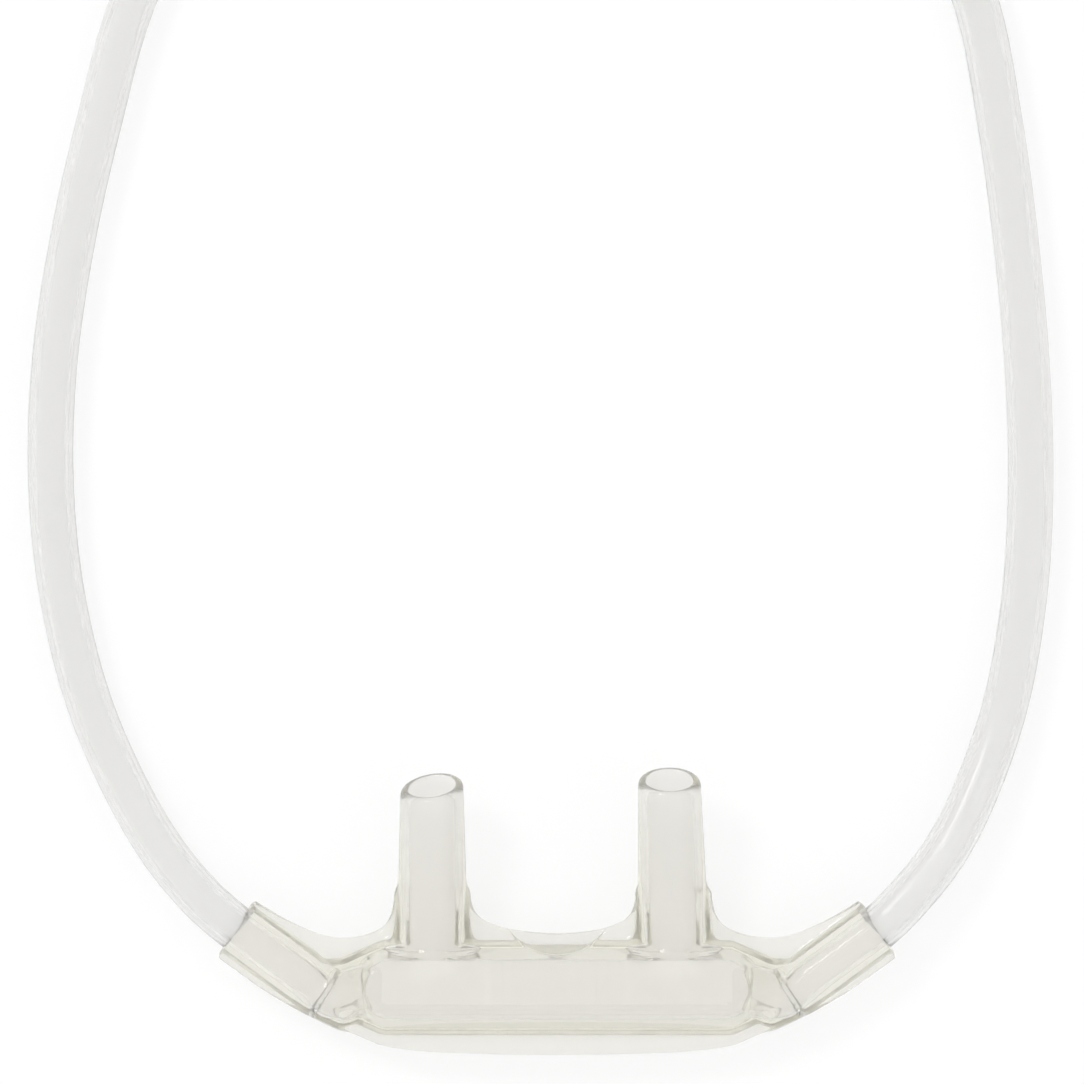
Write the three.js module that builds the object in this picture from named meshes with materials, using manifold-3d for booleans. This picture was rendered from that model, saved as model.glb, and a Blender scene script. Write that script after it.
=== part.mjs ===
// Nasal oxygen cannula: a moulded nosepiece with two curved prongs, its two head tubes, the sliding
// adjuster, the Y joint, and the coiled supply tube with its push-on connector.
// Millimetres, +Z up. The origin is under the middle of the nosepiece's outline, on the surface it lies on.

import * as THREE from "three";
import { mergeVertices } from "three/addons/utils/BufferGeometryUtils.js";
import Module from "manifold-3d";

const wasm = await Module();
wasm.setup();

// Clearance between pieces that touch or slide
const pieceGap = 0.3;

// Nosepiece body, a flat-faced bar along X
const bodyHeight = 6.8;
const bodyFlatWidth = 3.7;
const bodyWidestWidth = 7.4;
const bodyLength = 31.0;
const bodyEndTaper = 1.6;
const bodyCentreY = -5.75;
const bodyWall = 1.1;
const bodyEdgeWall = 1.7;
const flangeThickness = 1.0;
const flangeBottomY = -10.7;
const bridgeY = -1.85;
const valleyBeyondBody = 0.5;
const valleyY = -2.05;
const septumCutRadius = 4.2;
const septumCutDepth = 1.5;

// Prongs
const prongPitch = 17.75;
const prongBaseDiameter = 5.0;
const prongTipDiameter = 4.6;
const prongBore = 3.3;
const prongStartY = -4.0;
const prongLength = 14.3;
const prongBaseAngle = 4;
const prongTipAngle = 25;
const prongFilletTopY = 1.2;
const prongSides = 20;
const prongSteps = 8;

// Head tubes and the sleeves that hold them
const headTubeDiameter = 3.4;
const headTubeInserted = 8.0;
const headTubeSides = 8;
const headTubeStep = 10.5;
const sleeveWall = 0.75;
const sleeveLength = 9.6;
const sleeveAngle = 36.3;
const sleeveEndBeyondBody = 8.2;
const sleeveEndY = -1.35;
const airPassage = 2.4;

// Sliding adjuster
const slideLength = 12.0;
const slideWall = 1.2;
const slideEdgeBevel = 0.5;
const slideTubeSpacing = 4.2;
const slideStartY = 105.5;

// Y joint, measured along its own axis from the two sockets to the single one
const yLength = 21.0;
const yTwinSpacing = 4.6;
const yTwinLength = 10.0;
const yTwinDepth = 8.0;
const ySingleLength = 9.0;
const ySingleDepth = 8.0;
const yWall = 0.75;
const ySingleWall = 1.0;

// Supply tube and its coil
const supplyDiameter = 5.0;
const supplySides = 10;
const turnPitch = 5.15;
const coilColumns = 4;
const coilRows = 3;
const innerTurnRadius = 20.2;
const coilCentreY = 199.0;
const coilCorner = 1.3;
const coilSides = 56;
const yAngleOnCoil = 143;
const yRadiusOnCoil = 24.0;

// Head tubes laid over the coil
const pairSpacing = 3.7;
const outerLapRadius = 34.6;
const innerLapRadius = 26.5;
const lapStartAngle = -30;
const lapStepInAngle = 200;
const lapStepWidth = 90;

// Ties round the coil
const tieWidth = 5.0;
const tieThickness = 0.5;
const tieCornerRadius = 1.4;
const tieAngles = [-15, 55];

// Push-on connector at the end of the supply tube, along its own axis from the tube end to the mouth
const connectorLength = 38.0;
const connectorSocketDiameter = 10.0;
const connectorBarrelDiameter = 11.0;
const connectorRimDiameter = 12.8;
const connectorRimLength = 3.5;
const connectorMouth = 8.8;
const connectorThroat = 3.2;
const connectorSocketDepth = 11.0;
const connectorX = -32.7;
const connectorTubeEndY = 168.5;

const degree = Math.PI / 180;
const headTubeRadius = headTubeDiameter / 2;
const supplyRadius = supplyDiameter / 2;
const socketRadius = headTubeRadius + pieceGap;
const midHeight = bodyHeight / 2;
const prongX = prongPitch / 2;
const bodyEndX = bodyLength / 2;
const valleyX = bodyEndX + valleyBeyondBody;
const sleeveEndX = bodyEndX + sleeveEndBeyondBody;
const coilBottom = tieThickness + pieceGap;
const bottomRowHeight = coilBottom + supplyRadius;
const coilTop = coilBottom + supplyDiameter + (coilRows - 1) * turnPitch + 0.05;
const outerTurnRadius = innerTurnRadius + (coilColumns - 1) * turnPitch;
const coilInnerRadius = innerTurnRadius - supplyRadius - 0.1;
const coilOuterRadius = outerTurnRadius + supplyRadius + 0.1;
const lapHeight = coilTop + pieceGap + headTubeRadius;
const slideHalfHeight = headTubeRadius + pieceGap + slideWall;
const yHalfHeight = supplyRadius + pieceGap + ySingleWall;
const yCentreHeight = coilTop + pieceGap + yHalfHeight;

const clearSoftPvc = { color: 0xe4e3da, roughness: 0.22, metalness: 0, transparent: true, opacity: 0.55 };
const clearTubing = { color: 0xecebe6, roughness: 0.2, metalness: 0, transparent: true, opacity: 0.6 };
const clearRigid = { color: 0xe9ecec, roughness: 0.12, metalness: 0, transparent: true, opacity: 0.5 };
const whiteBand = { color: 0xf2f2ee, roughness: 0.6, metalness: 0 };

// Booleans on closed meshes
function toSolid(geometry) {
  const bare = geometry.clone();
  bare.deleteAttribute("normal");
  bare.deleteAttribute("uv");
  const merged = mergeVertices(bare, 1e-4);
  return new wasm.Manifold(new wasm.Mesh({
    numProp: 3,
    vertProperties: new Float32Array(merged.attributes.position.array),
    triVerts: new Uint32Array(merged.index.array),
  }));
}

function toGeometry(solid) {
  const mesh = solid.getMesh();
  const geometry = new THREE.BufferGeometry();
  geometry.setAttribute("position", new THREE.BufferAttribute(mesh.vertProperties, 3));
  geometry.setIndex(new THREE.BufferAttribute(mesh.triVerts, 1));
  geometry.computeVertexNormals();
  return geometry;
}

function joined(geometries) {
  return geometries.map(toSolid).reduce((whole, piece) => whole.add(piece));
}

function cutFrom(solid, geometries) {
  return geometries.map(toSolid).reduce((rest, piece) => rest.subtract(piece), solid);
}

// A cylinder between two points
function rod(start, end, radius, sides) {
  const along = end.clone().sub(start);
  const geometry = new THREE.CylinderGeometry(radius, radius, along.length(), sides);
  const turn = new THREE.Quaternion().setFromUnitVectors(new THREE.Vector3(0, 1, 0), along.clone().normalize());
  geometry.applyQuaternion(turn);
  const middle = start.clone().add(end).multiplyScalar(0.5);
  return geometry.translate(middle.x, middle.y, middle.z);
}

// A tube-shaped solid along a curve
function sweep(curve, radius, sides, steps) {
  const corners = [];
  for (let side = 0; side < sides; side++) {
    const angle = (2 * Math.PI * side) / sides;
    corners.push(new THREE.Vector2(radius * Math.cos(angle), radius * Math.sin(angle)));
  }
  return new THREE.ExtrudeGeometry(new THREE.Shape(corners), { steps, extrudePath: curve });
}

// The nosepiece's six-sided bar, drawn across X with its ends tapered
function bar(length, height, flatWidth, widestWidth, taper) {
  const section = new THREE.Shape([
    new THREE.Vector2(-flatWidth / 2, -height / 2),
    new THREE.Vector2(flatWidth / 2, -height / 2),
    new THREE.Vector2(widestWidth / 2, 0),
    new THREE.Vector2(flatWidth / 2, height / 2),
    new THREE.Vector2(-flatWidth / 2, height / 2),
    new THREE.Vector2(-widestWidth / 2, 0),
  ]);
  const geometry = new THREE.ExtrudeGeometry(section, {
    depth: length - 2 * taper,
    bevelThickness: taper,
    bevelSize: taper,
    bevelOffset: -taper,
    bevelSegments: 1,
  });
  geometry.translate(0, 0, -(length - 2 * taper) / 2);
  const acrossX = new THREE.Matrix4().makeBasis(
    new THREE.Vector3(0, 1, 0),
    new THREE.Vector3(0, 0, 1),
    new THREE.Vector3(1, 0, 0),
  );
  geometry.applyMatrix4(acrossX);
  return geometry.translate(0, bodyCentreY, midHeight);
}

// Where the sleeve axis is, a given distance in from its open end
function sleevePoint(side, inward) {
  return new THREE.Vector3(
    side * (sleeveEndX - inward * Math.cos(sleeveAngle * degree)),
    sleeveEndY - inward * Math.sin(sleeveAngle * degree),
    midHeight,
  );
}

// The outline seen from above: the webs up to the prongs, the sleeve ends and the lower rim
function flangeShape() {
  const sleeveRadius = socketRadius - pieceGap + sleeveWall;
  const acrossX = sleeveRadius * Math.sin(sleeveAngle * degree);
  const acrossY = sleeveRadius * Math.cos(sleeveAngle * degree);
  const prongRadius = prongBaseDiameter / 2;
  const upperCorner = [sleeveEndX - acrossX, sleeveEndY + acrossY];
  const lowerCorner = [sleeveEndX + acrossX, sleeveEndY - acrossY];
  const half = new THREE.Path();
  half.moveTo(0, bridgeY);
  half.quadraticCurveTo(prongX - prongRadius, bridgeY + 0.35, prongX - prongRadius, prongFilletTopY);
  half.lineTo(prongX + prongRadius, prongFilletTopY);
  half.quadraticCurveTo(prongX + prongRadius + 0.2, valleyY, valleyX, valleyY);
  half.quadraticCurveTo(valleyX + 2.2, valleyY + 0.1, ...upperCorner);
  half.lineTo(...lowerCorner);
  half.lineTo(bodyEndX + 1.5, bodyCentreY - 2.2);
  half.quadraticCurveTo(bodyEndX - 1.3, flangeBottomY + 0.7, prongX, flangeBottomY + 0.25);
  half.quadraticCurveTo(prongX / 2, flangeBottomY, 0, flangeBottomY);
  const right = half.getPoints(8);
  const left = right.slice(1, -1).reverse().map((point) => new THREE.Vector2(-point.x, point.y));
  return new THREE.Shape([...right, ...left]);
}

// Bends a straight cylinder, drawn along +Y from the prong's root, upwards along the prong's arc
function bendProng(geometry, side) {
  const place = geometry.attributes.position;
  const turnPerLength = ((prongTipAngle - prongBaseAngle) * degree) / prongLength;
  const arcRadius = 1 / turnPerLength;
  for (let i = 0; i < place.count; i++) {
    const along = place.getY(i);
    const angle = prongBaseAngle * degree + along * turnPerLength;
    const centreY = arcRadius * (Math.sin(angle) - Math.sin(prongBaseAngle * degree));
    const centreZ = arcRadius * (Math.cos(prongBaseAngle * degree) - Math.cos(angle));
    const offset = place.getZ(i);
    place.setXYZ(
      i,
      place.getX(i) + side * prongX,
      prongStartY + centreY - offset * Math.sin(angle),
      midHeight + centreZ + offset * Math.cos(angle),
    );
  }
  return geometry;
}

function prongSolid(side) {
  const geometry = new THREE.CylinderGeometry(
    prongTipDiameter / 2,
    prongBaseDiameter / 2,
    prongLength,
    prongSides,
    prongSteps,
  );
  return bendProng(geometry.translate(0, prongLength / 2, 0), side);
}

function prongBoreCut(side) {
  const length = prongLength + 2;
  const geometry = new THREE.CylinderGeometry(prongBore / 2, prongBore / 2, length, prongSides, prongSteps);
  return bendProng(geometry.translate(0, length / 2, 0), side);
}

function nosepiece() {
  const sides = [-1, 1];
  const sleeveRadius = headTubeRadius + sleeveWall;
  const flange = new THREE.ExtrudeGeometry(flangeShape(), { depth: flangeThickness, bevelEnabled: false });
  flange.translate(0, 0, midHeight - flangeThickness / 2);
  const outside = joined([
    bar(bodyLength, bodyHeight, bodyFlatWidth, bodyWidestWidth, bodyEndTaper),
    flange,
    ...sides.map((side) => rod(sleevePoint(side, 0), sleevePoint(side, sleeveLength), sleeveRadius, 20)),
    ...sides.map(prongSolid),
  ]);
  const chamber = bar(
    bodyLength - 4 * bodyWall,
    bodyHeight - 2 * bodyWall,
    bodyFlatWidth - bodyWall,
    bodyWidestWidth - 2 * bodyEdgeWall,
    bodyEndTaper / 2,
  );
  const sockets = sides.map((side) => rod(
    sleevePoint(side, -1),
    sleevePoint(side, headTubeInserted + pieceGap),
    socketRadius,
    16,
  ));
  const passages = sides.map((side) => rod(
    sleevePoint(side, headTubeInserted - 0.5),
    new THREE.Vector3(side * (bodyEndX - 3.5), bodyCentreY, midHeight),
    airPassage / 2,
    12,
  ));
  const septumCut = new THREE.CylinderGeometry(septumCutRadius, septumCutRadius, bodyHeight, 32);
  septumCut.rotateX(90 * degree);
  septumCut.translate(
    0,
    bridgeY - septumCutDepth + septumCutRadius,
    midHeight + flangeThickness / 2 + bodyHeight / 2,
  );
  return cutFrom(outside, [chamber, septumCut, ...sockets, ...passages, ...sides.map(prongBoreCut)]);
}

// Head tubes: the route from the nosepiece to the adjuster, on each side
const leftRoute = [
  [-26.2, 0.8, 3.3],
  [-29.7, 5.1, 2.8],
  [-34.2, 14.0, 1.9],
  [-36.6, 22.9, 1.75],
  [-37.5, 31.8, 1.75],
  [-37.2, 40.7, 1.75],
  [-35.9, 49.5, 1.75],
  [-33.9, 58.4, 1.75],
  [-31.4, 67.3, 1.75],
  [-26.9, 76.0, 1.75],
  [-19.3, 84.0, 1.75],
  [-10.6, 90.6, 1.9],
  [-4.3, 96.8, 2.8],
];

const rightRoute = [
  [25.9, 0.8, 3.3],
  [29.2, 5.1, 2.8],
  [32.9, 14.0, 1.9],
  [34.6, 22.9, 1.75],
  [35.1, 31.8, 1.75],
  [34.8, 40.7, 1.75],
  [34.0, 49.5, 1.75],
  [32.8, 58.4, 1.75],
  [31.0, 67.3, 1.75],
  [27.2, 76.0, 1.75],
  [19.6, 84.2, 1.75],
  [10.6, 90.8, 1.9],
  [4.3, 96.8, 2.8],
];

// The pair's middle line from the adjuster up on to the coil; its first points lie in the adjuster's reach
const pairInSlide = 4;
const pairRoute = [
  [0, 102.5, slideHalfHeight],
  [0, 109.0, slideHalfHeight],
  [0, 120.0, slideHalfHeight],
  [0, 132.0, slideHalfHeight],
  [1.0, 139.0, 5.3],
  [4.2, 146.0, 9.6],
  [9.0, 152.5, 14.2],
  [14.3, 158.4, 17.5],
  [19.6, 164.6, lapHeight],
  [25.0, 172.4, lapHeight],
];

function smoothStep(value) {
  const t = Math.min(Math.max(value, 0), 1);
  return t * t * (3 - 2 * t);
}

function onCoil(angle, radius, height) {
  return new THREE.Vector3(
    radius * Math.cos(angle * degree),
    coilCentreY + radius * Math.sin(angle * degree),
    height,
  );
}

// The Y joint lies straight along the coil; its own axis runs the way the turns go
const yAngle = 360 + yAngleOnCoil;
const yForward = new THREE.Vector3(-Math.sin(yAngle * degree), Math.cos(yAngle * degree), 0);
const ySideways = new THREE.Vector3(Math.cos(yAngle * degree), Math.sin(yAngle * degree), 0);

function yPoint(along, sideways) {
  return onCoil(yAngle, yRadiusOnCoil, yCentreHeight)
    .addScaledVector(yForward, along - yLength / 2)
    .addScaledVector(ySideways, sideways);
}

// The pair's middle line over the coil: one lap, a step inwards, then on to the Y joint
function pairMiddle() {
  const points = pairRoute.map((point) => new THREE.Vector3(...point));
  const lapEndAngle = yAngle - 44;
  const laps = 34;
  for (let i = 0; i <= laps; i++) {
    const angle = lapStartAngle + ((lapEndAngle - lapStartAngle) * i) / laps;
    const stepIn = smoothStep((angle - lapStepInAngle) / lapStepWidth);
    const radius = outerLapRadius + (innerLapRadius - outerLapRadius) * stepIn;
    const rise = smoothStep((angle - lapEndAngle + 30) / 30);
    points.push(onCoil(angle, radius, lapHeight + 0.4 * rise * (yCentreHeight - lapHeight)));
  }
  return points;
}

// One tube of the pair: beside the middle line by half the spacing there
function besidePair(middle, side) {
  return middle.map((point, i) => {
    const before = middle[Math.max(i - 1, 0)];
    const after = middle[Math.min(i + 1, middle.length - 1)];
    const across = new THREE.Vector3(after.y - before.y, before.x - after.x, 0).normalize();
    const spacing = i < pairInSlide ? slideTubeSpacing : pairSpacing;
    return point.clone().addScaledVector(across, (side * spacing) / 2);
  });
}

function headTube(side, route) {
  const points = [
    sleevePoint(side, headTubeInserted),
    sleevePoint(side, headTubeInserted / 2),
    sleevePoint(side, 0),
    ...route.map((point) => new THREE.Vector3(...point)),
    ...besidePair(pairMiddle(), side),
    ...[-2.5, pieceGap, yTwinDepth / 2, yTwinDepth - pieceGap].map((along) => (
      yPoint(along, (side * yTwinSpacing) / 2)
    )),
  ];
  const curve = new THREE.CatmullRomCurve3(points, false, "centripetal");
  curve.arcLengthDivisions = 1000;
  return sweep(curve, headTubeRadius, headTubeSides, Math.round(curve.getLength() / headTubeStep));
}

// Sliding adjuster: an oval sleeve round both tubes
function ovalShape(halfSpacing, radius) {
  const shape = new THREE.Shape();
  shape.absarc(halfSpacing, 0, radius, -Math.PI / 2, Math.PI / 2, false);
  shape.absarc(-halfSpacing, 0, radius, Math.PI / 2, (3 * Math.PI) / 2, false);
  return shape;
}

function tubeSlide() {
  const halfSpacing = slideTubeSpacing / 2;
  const outline = ovalShape(halfSpacing, slideHalfHeight);
  const outer = new THREE.ExtrudeGeometry(outline, {
    depth: slideLength - 2 * slideEdgeBevel,
    curveSegments: 10,
    bevelThickness: slideEdgeBevel,
    bevelSize: slideEdgeBevel,
    bevelOffset: -slideEdgeBevel,
    bevelSegments: 2,
  });
  outer.translate(0, 0, slideEdgeBevel);
  const slot = new THREE.ExtrudeGeometry(ovalShape(halfSpacing, socketRadius), {
    depth: slideLength + 2,
    curveSegments: 10,
    bevelEnabled: false,
  });
  slot.translate(0, 0, -1);
  const geometry = toGeometry(cutFrom(toSolid(outer), [slot]));
  return geometry.rotateX(-90 * degree);
}

// Y joint, drawn along +Y with its two head-tube sockets at the start
function yJoint() {
  const twinRadius = headTubeRadius + pieceGap + yWall;
  const twinOffset = yTwinSpacing / 2;
  const singleRadius = yHalfHeight;
  const along = (y, x = 0) => new THREE.Vector3(x, y, 0);
  const webShape = new THREE.Shape([
    new THREE.Vector2(-twinOffset - twinRadius + 0.3, yTwinLength - 4),
    new THREE.Vector2(twinOffset + twinRadius - 0.3, yTwinLength - 4),
    new THREE.Vector2(singleRadius - 0.3, yLength - ySingleLength + 2),
    new THREE.Vector2(-singleRadius + 0.3, yLength - ySingleLength + 2),
  ]);
  const webThickness = 2 * twinRadius - 0.6;
  const web = new THREE.ExtrudeGeometry(webShape, { depth: webThickness, bevelEnabled: false });
  web.translate(0, 0, -webThickness / 2);
  const outside = joined([
    web,
    rod(along(0, -twinOffset), along(yTwinLength, -twinOffset), twinRadius, 18),
    rod(along(0, twinOffset), along(yTwinLength, twinOffset), twinRadius, 18),
    rod(along(yLength - ySingleLength), along(yLength), singleRadius, 24),
  ]);
  return toGeometry(cutFrom(outside, [
    rod(along(-1, -twinOffset), along(yTwinDepth, -twinOffset), socketRadius, 14),
    rod(along(-1, twinOffset), along(yTwinDepth, twinOffset), socketRadius, 14),
    rod(along(yLength - ySingleDepth), along(yLength + 1), supplyRadius + pieceGap, 18),
    rod(along(yTwinDepth - 1, -twinOffset), along(yLength - ySingleDepth + 1, -1.2), airPassage / 2, 10),
    rod(along(yTwinDepth - 1, twinOffset), along(yLength - ySingleDepth + 1, 1.2), airPassage / 2, 10),
  ]));
}

// The coil of supply tube: its turns fill this ring
function supplyCoil() {
  const profile = [
    [coilInnerRadius + coilCorner, coilBottom],
    [coilOuterRadius - coilCorner, coilBottom],
    [coilOuterRadius, coilBottom + coilCorner],
    [coilOuterRadius, coilTop - coilCorner],
    [coilOuterRadius - coilCorner, coilTop],
    [coilInnerRadius + turnPitch, coilTop],
    [coilInnerRadius, coilTop - turnPitch],
    [coilInnerRadius, coilBottom + coilCorner],
    [coilInnerRadius + coilCorner, coilBottom],
  ];
  const geometry = new THREE.LatheGeometry(profile.map((pair) => new THREE.Vector2(...pair)), coilSides);
  return geometry.rotateX(90 * degree).translate(0, coilCentreY, 0);
}

// Supply tube from the Y joint down on to the coil
function supplyLead() {
  const points = [
    yPoint(yLength - ySingleDepth + pieceGap, 0),
    yPoint(yLength, 0),
    onCoil(yAngle + 36, yRadiusOnCoil + 3.6, yCentreHeight - 0.5),
    onCoil(yAngle + 50, yRadiusOnCoil + 2.6, yCentreHeight - 0.9),
  ];
  return sweep(new THREE.CatmullRomCurve3(points, false, "centripetal"), supplyRadius, supplySides, 4);
}

// Supply tube from the coil's outer bottom turn to the connector
const connectorHeight = connectorRimDiameter / 2;
const tailRoute = [
  [-outerTurnRadius, 178.2, bottomRowHeight + 0.5],
  [-34.2, 173.4, 4.9],
  [connectorX, connectorTubeEndY, connectorHeight],
  [connectorX, connectorTubeEndY - connectorSocketDepth + pieceGap, connectorHeight],
];

function supplyTail() {
  const points = tailRoute.map((point) => new THREE.Vector3(...point));
  return sweep(new THREE.CatmullRomCurve3(points, false, "centripetal"), supplyRadius, supplySides, 4);
}

// Push-on connector: socket for the tube, a throat, and the tapered mouth that goes over an outlet
function supplyConnector() {
  const socketWallEnd = connectorSocketDepth + 1.5;
  const throatEnd = socketWallEnd + 2;
  const profile = [
    [supplyRadius + pieceGap, 0],
    [connectorSocketDiameter / 2 - 0.5, 0],
    [connectorSocketDiameter / 2, 0.6],
    [connectorSocketDiameter / 2, 3.2],
    [connectorSocketDiameter / 2 - 1.0, 4.0],
    [connectorSocketDiameter / 2 - 1.0, socketWallEnd],
    [connectorBarrelDiameter / 2, throatEnd + 3],
    [connectorBarrelDiameter / 2, connectorLength - connectorRimLength],
    [connectorRimDiameter / 2, connectorLength - connectorRimLength + 0.5],
    [connectorRimDiameter / 2, connectorLength - 0.4],
    [connectorRimDiameter / 2 - 0.4, connectorLength],
    [connectorMouth / 2, connectorLength],
    [connectorMouth / 2 - 0.8, throatEnd + 1.5],
    [connectorThroat / 2, throatEnd],
    [connectorThroat / 2, connectorSocketDepth],
    [supplyRadius + pieceGap, connectorSocketDepth],
    [supplyRadius + pieceGap, 0],
  ];
  const geometry = new THREE.LatheGeometry(profile.map((pair) => new THREE.Vector2(...pair)), 28);
  return geometry.rotateX(180 * degree);
}

// A closed outline through corners given anticlockwise, moved outwards by a margin, with its corners rounded
function roundedOutline(corners, margin, cornerRadius) {
  const count = corners.length;
  const edges = corners.map(([x, y], i) => {
    const [nextX, nextY] = corners[(i + 1) % count];
    const direction = new THREE.Vector2(nextX - x, nextY - y).normalize();
    const outward = new THREE.Vector2(direction.y, -direction.x);
    return { start: new THREE.Vector2(x, y).addScaledVector(outward, margin), direction };
  });
  const moved = edges.map((edge, i) => {
    const last = edges[(i + count - 1) % count];
    const between = edge.start.clone().sub(last.start);
    const reach = between.cross(edge.direction) / last.direction.cross(edge.direction);
    return last.start.clone().addScaledVector(last.direction, reach);
  });
  const shape = new THREE.Shape();
  moved.forEach((corner, i) => {
    const arriving = corner.clone().addScaledVector(edges[(i + count - 1) % count].direction, -cornerRadius);
    const leaving = corner.clone().addScaledVector(edges[i].direction, cornerRadius);
    if (i === 0) {
      shape.moveTo(arriving.x, arriving.y);
    } else {
      shape.lineTo(arriving.x, arriving.y);
    }
    shape.quadraticCurveTo(corner.x, corner.y, leaving.x, leaving.y);
  });
  return shape;
}

// A band tied round the coil and the head tubes on it, drawn across the coil's section
function coilTie(angle) {
  const low = coilBottom - pieceGap;
  const high = lapHeight + headTubeRadius + pieceGap;
  const inner = coilInnerRadius - pieceGap;
  const outer = coilOuterRadius + pieceGap;
  const lapInner = innerLapRadius - pairSpacing / 2 - headTubeRadius - pieceGap;
  const corners = [
    [inner, low],
    [outer, low],
    [outer, high],
    [lapInner, high],
    [inner, coilTop - turnPitch + pieceGap],
  ];
  const shape = roundedOutline(corners, tieThickness, tieCornerRadius + tieThickness);
  shape.holes.push(roundedOutline(corners, 0, tieCornerRadius));
  const geometry = new THREE.ExtrudeGeometry(shape, {
    depth: tieWidth,
    curveSegments: 4,
    bevelEnabled: false,
  });
  geometry.translate(0, 0, -tieWidth / 2);
  geometry.rotateX(90 * degree);
  geometry.rotateZ(angle * degree);
  return geometry.translate(0, coilCentreY, 0);
}

const cannula = new THREE.Group();

function addPiece(name, geometry, look) {
  const mesh = new THREE.Mesh(geometry, new THREE.MeshStandardMaterial(look));
  mesh.name = name;
  cannula.add(mesh);
  return mesh;
}

addPiece("nosepiece", toGeometry(nosepiece()), clearSoftPvc);
addPiece("head_tube_left", headTube(-1, leftRoute), clearTubing);
addPiece("head_tube_right", headTube(1, rightRoute), clearTubing);

const slide = addPiece("tube_slide", tubeSlide(), clearRigid);
slide.position.set(0, slideStartY, slideHalfHeight);

const yPiece = addPiece("y_joint", yJoint(), clearSoftPvc);
yPiece.position.copy(yPoint(0, 0));
yPiece.rotation.z = yAngle * degree;

addPiece("supply_tube_lead", supplyLead(), clearTubing);
addPiece("supply_coil", supplyCoil(), clearTubing);
addPiece("supply_tube_tail", supplyTail(), clearTubing);

const connector = addPiece("supply_connector", supplyConnector(), clearSoftPvc);
connector.position.set(connectorX, connectorTubeEndY, connectorHeight);

tieAngles.forEach((angle, i) => addPiece(`coil_tie_${i + 1}`, coilTie(angle), whiteBand));

export default cannula;
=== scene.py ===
"""Looks of a nasal oxygen cannula: nosepiece, head tubes, adjuster, Y joint and coiled supply tube."""

import math

import bpy
import numpy as np
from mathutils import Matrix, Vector


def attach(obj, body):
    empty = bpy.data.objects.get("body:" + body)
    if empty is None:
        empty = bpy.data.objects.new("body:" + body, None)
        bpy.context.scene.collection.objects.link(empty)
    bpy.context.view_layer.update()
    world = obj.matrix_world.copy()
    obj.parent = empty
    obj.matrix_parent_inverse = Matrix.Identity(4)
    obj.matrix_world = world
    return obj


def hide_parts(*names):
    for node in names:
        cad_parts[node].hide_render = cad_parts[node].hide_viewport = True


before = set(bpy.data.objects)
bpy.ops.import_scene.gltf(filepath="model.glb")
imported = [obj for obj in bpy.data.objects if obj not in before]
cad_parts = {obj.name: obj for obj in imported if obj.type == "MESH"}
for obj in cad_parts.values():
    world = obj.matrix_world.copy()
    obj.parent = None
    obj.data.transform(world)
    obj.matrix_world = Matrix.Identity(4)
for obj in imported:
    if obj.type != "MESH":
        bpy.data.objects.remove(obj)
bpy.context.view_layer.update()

MM = 0.001
DEGREE = math.pi / 180

# Photograph: picture side, millimetres for each pixel, and where the part's origin shows in it
PICTURE_SIDE = 1084
MM_PER_PIXEL = 0.074
ORIGIN_PIXEL = (557.0, 909.5)
CAMERA_HEIGHT = 620.0
AIM_HEIGHT = 2.5

# What the camera shows, from near to far, in metres
CAMERA_NEAR = 0.01
CAMERA_FAR = 10

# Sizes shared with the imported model, in millimetres
BODY_HEIGHT = 6.8
BODY_FLAT_WIDTH = 3.7
BODY_WIDEST_WIDTH = 7.4
BODY_CENTRE_Y = -5.75
MID_HEIGHT = BODY_HEIGHT / 2
FLANGE_BOTTOM_Y = -10.7
FLANGE_BEND = (17.3, -8.1)
FLANGE_CORNER = (13.2, -9.9)
FLANGE_UNDER_SLEEVE = (22.7, -5.15)
TOWARDS_BEND = (20.6, -6.7)
TOWARDS_CORNER = (15.3, -9.0)
TOWARDS_BOTTOM = (12.0, -10.3)
UNDER_PRONG_RISE = 0.2
UNDER_SLEEVE_IN = 0.2
BRIDGE_Y = -1.85
BRIDGE_RISE = 0.35
VALLEY_X = 16.0
VALLEY_Y = -2.05
VALLEY_LEAN = 0.2
VALLEY_REACH = 2.2
VALLEY_RISE = 0.1
PRONG_X = 17.75 / 2
PRONG_BASE_RADIUS = 2.5
PRONG_TIP_RADIUS = 2.3
PRONG_START_Y = -4.0
PRONG_LENGTH = 14.3
PRONG_BASE_ANGLE = 4 * DEGREE
PRONG_TIP_ANGLE = 25 * DEGREE
PRONG_FILLET_TOP_Y = 1.2
HEAD_TUBE_DIAMETER = 3.4
HEAD_TUBE_BORE = 2.1
HEAD_TUBE_INSERTED = 8.0
SLEEVE_ANGLE = 36.3 * DEGREE
SLEEVE_END_X = 23.7
SLEEVE_END_Y = -1.35
SLEEVE_RADIUS = HEAD_TUBE_DIAMETER / 2 + 0.75
PIECE_GAP = 0.3
SLIDE_TUBE_SPACING = 4.2
SLIDE_HALF_HEIGHT = HEAD_TUBE_DIAMETER / 2 + PIECE_GAP + 1.2
SUPPLY_DIAMETER = 5.0
SUPPLY_BORE = 3.2
TURN_PITCH = 5.15
COIL_CENTRE_Y = 199.0
INNER_TURN_RADIUS = 20.2
COIL_BOTTOM = 0.8
BOTTOM_ROW_HEIGHT = COIL_BOTTOM + SUPPLY_DIAMETER / 2
COIL_TOP = COIL_BOTTOM + SUPPLY_DIAMETER + 2 * TURN_PITCH + 0.05
LAP_HEIGHT = COIL_TOP + PIECE_GAP + HEAD_TUBE_DIAMETER / 2
Y_LENGTH = 21.0
Y_TWIN_SPACING = 4.6
Y_TWIN_DEPTH = 8.0
Y_SINGLE_DEPTH = 8.0
Y_HALF_HEIGHT = SUPPLY_DIAMETER / 2 + PIECE_GAP + 1.0
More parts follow.
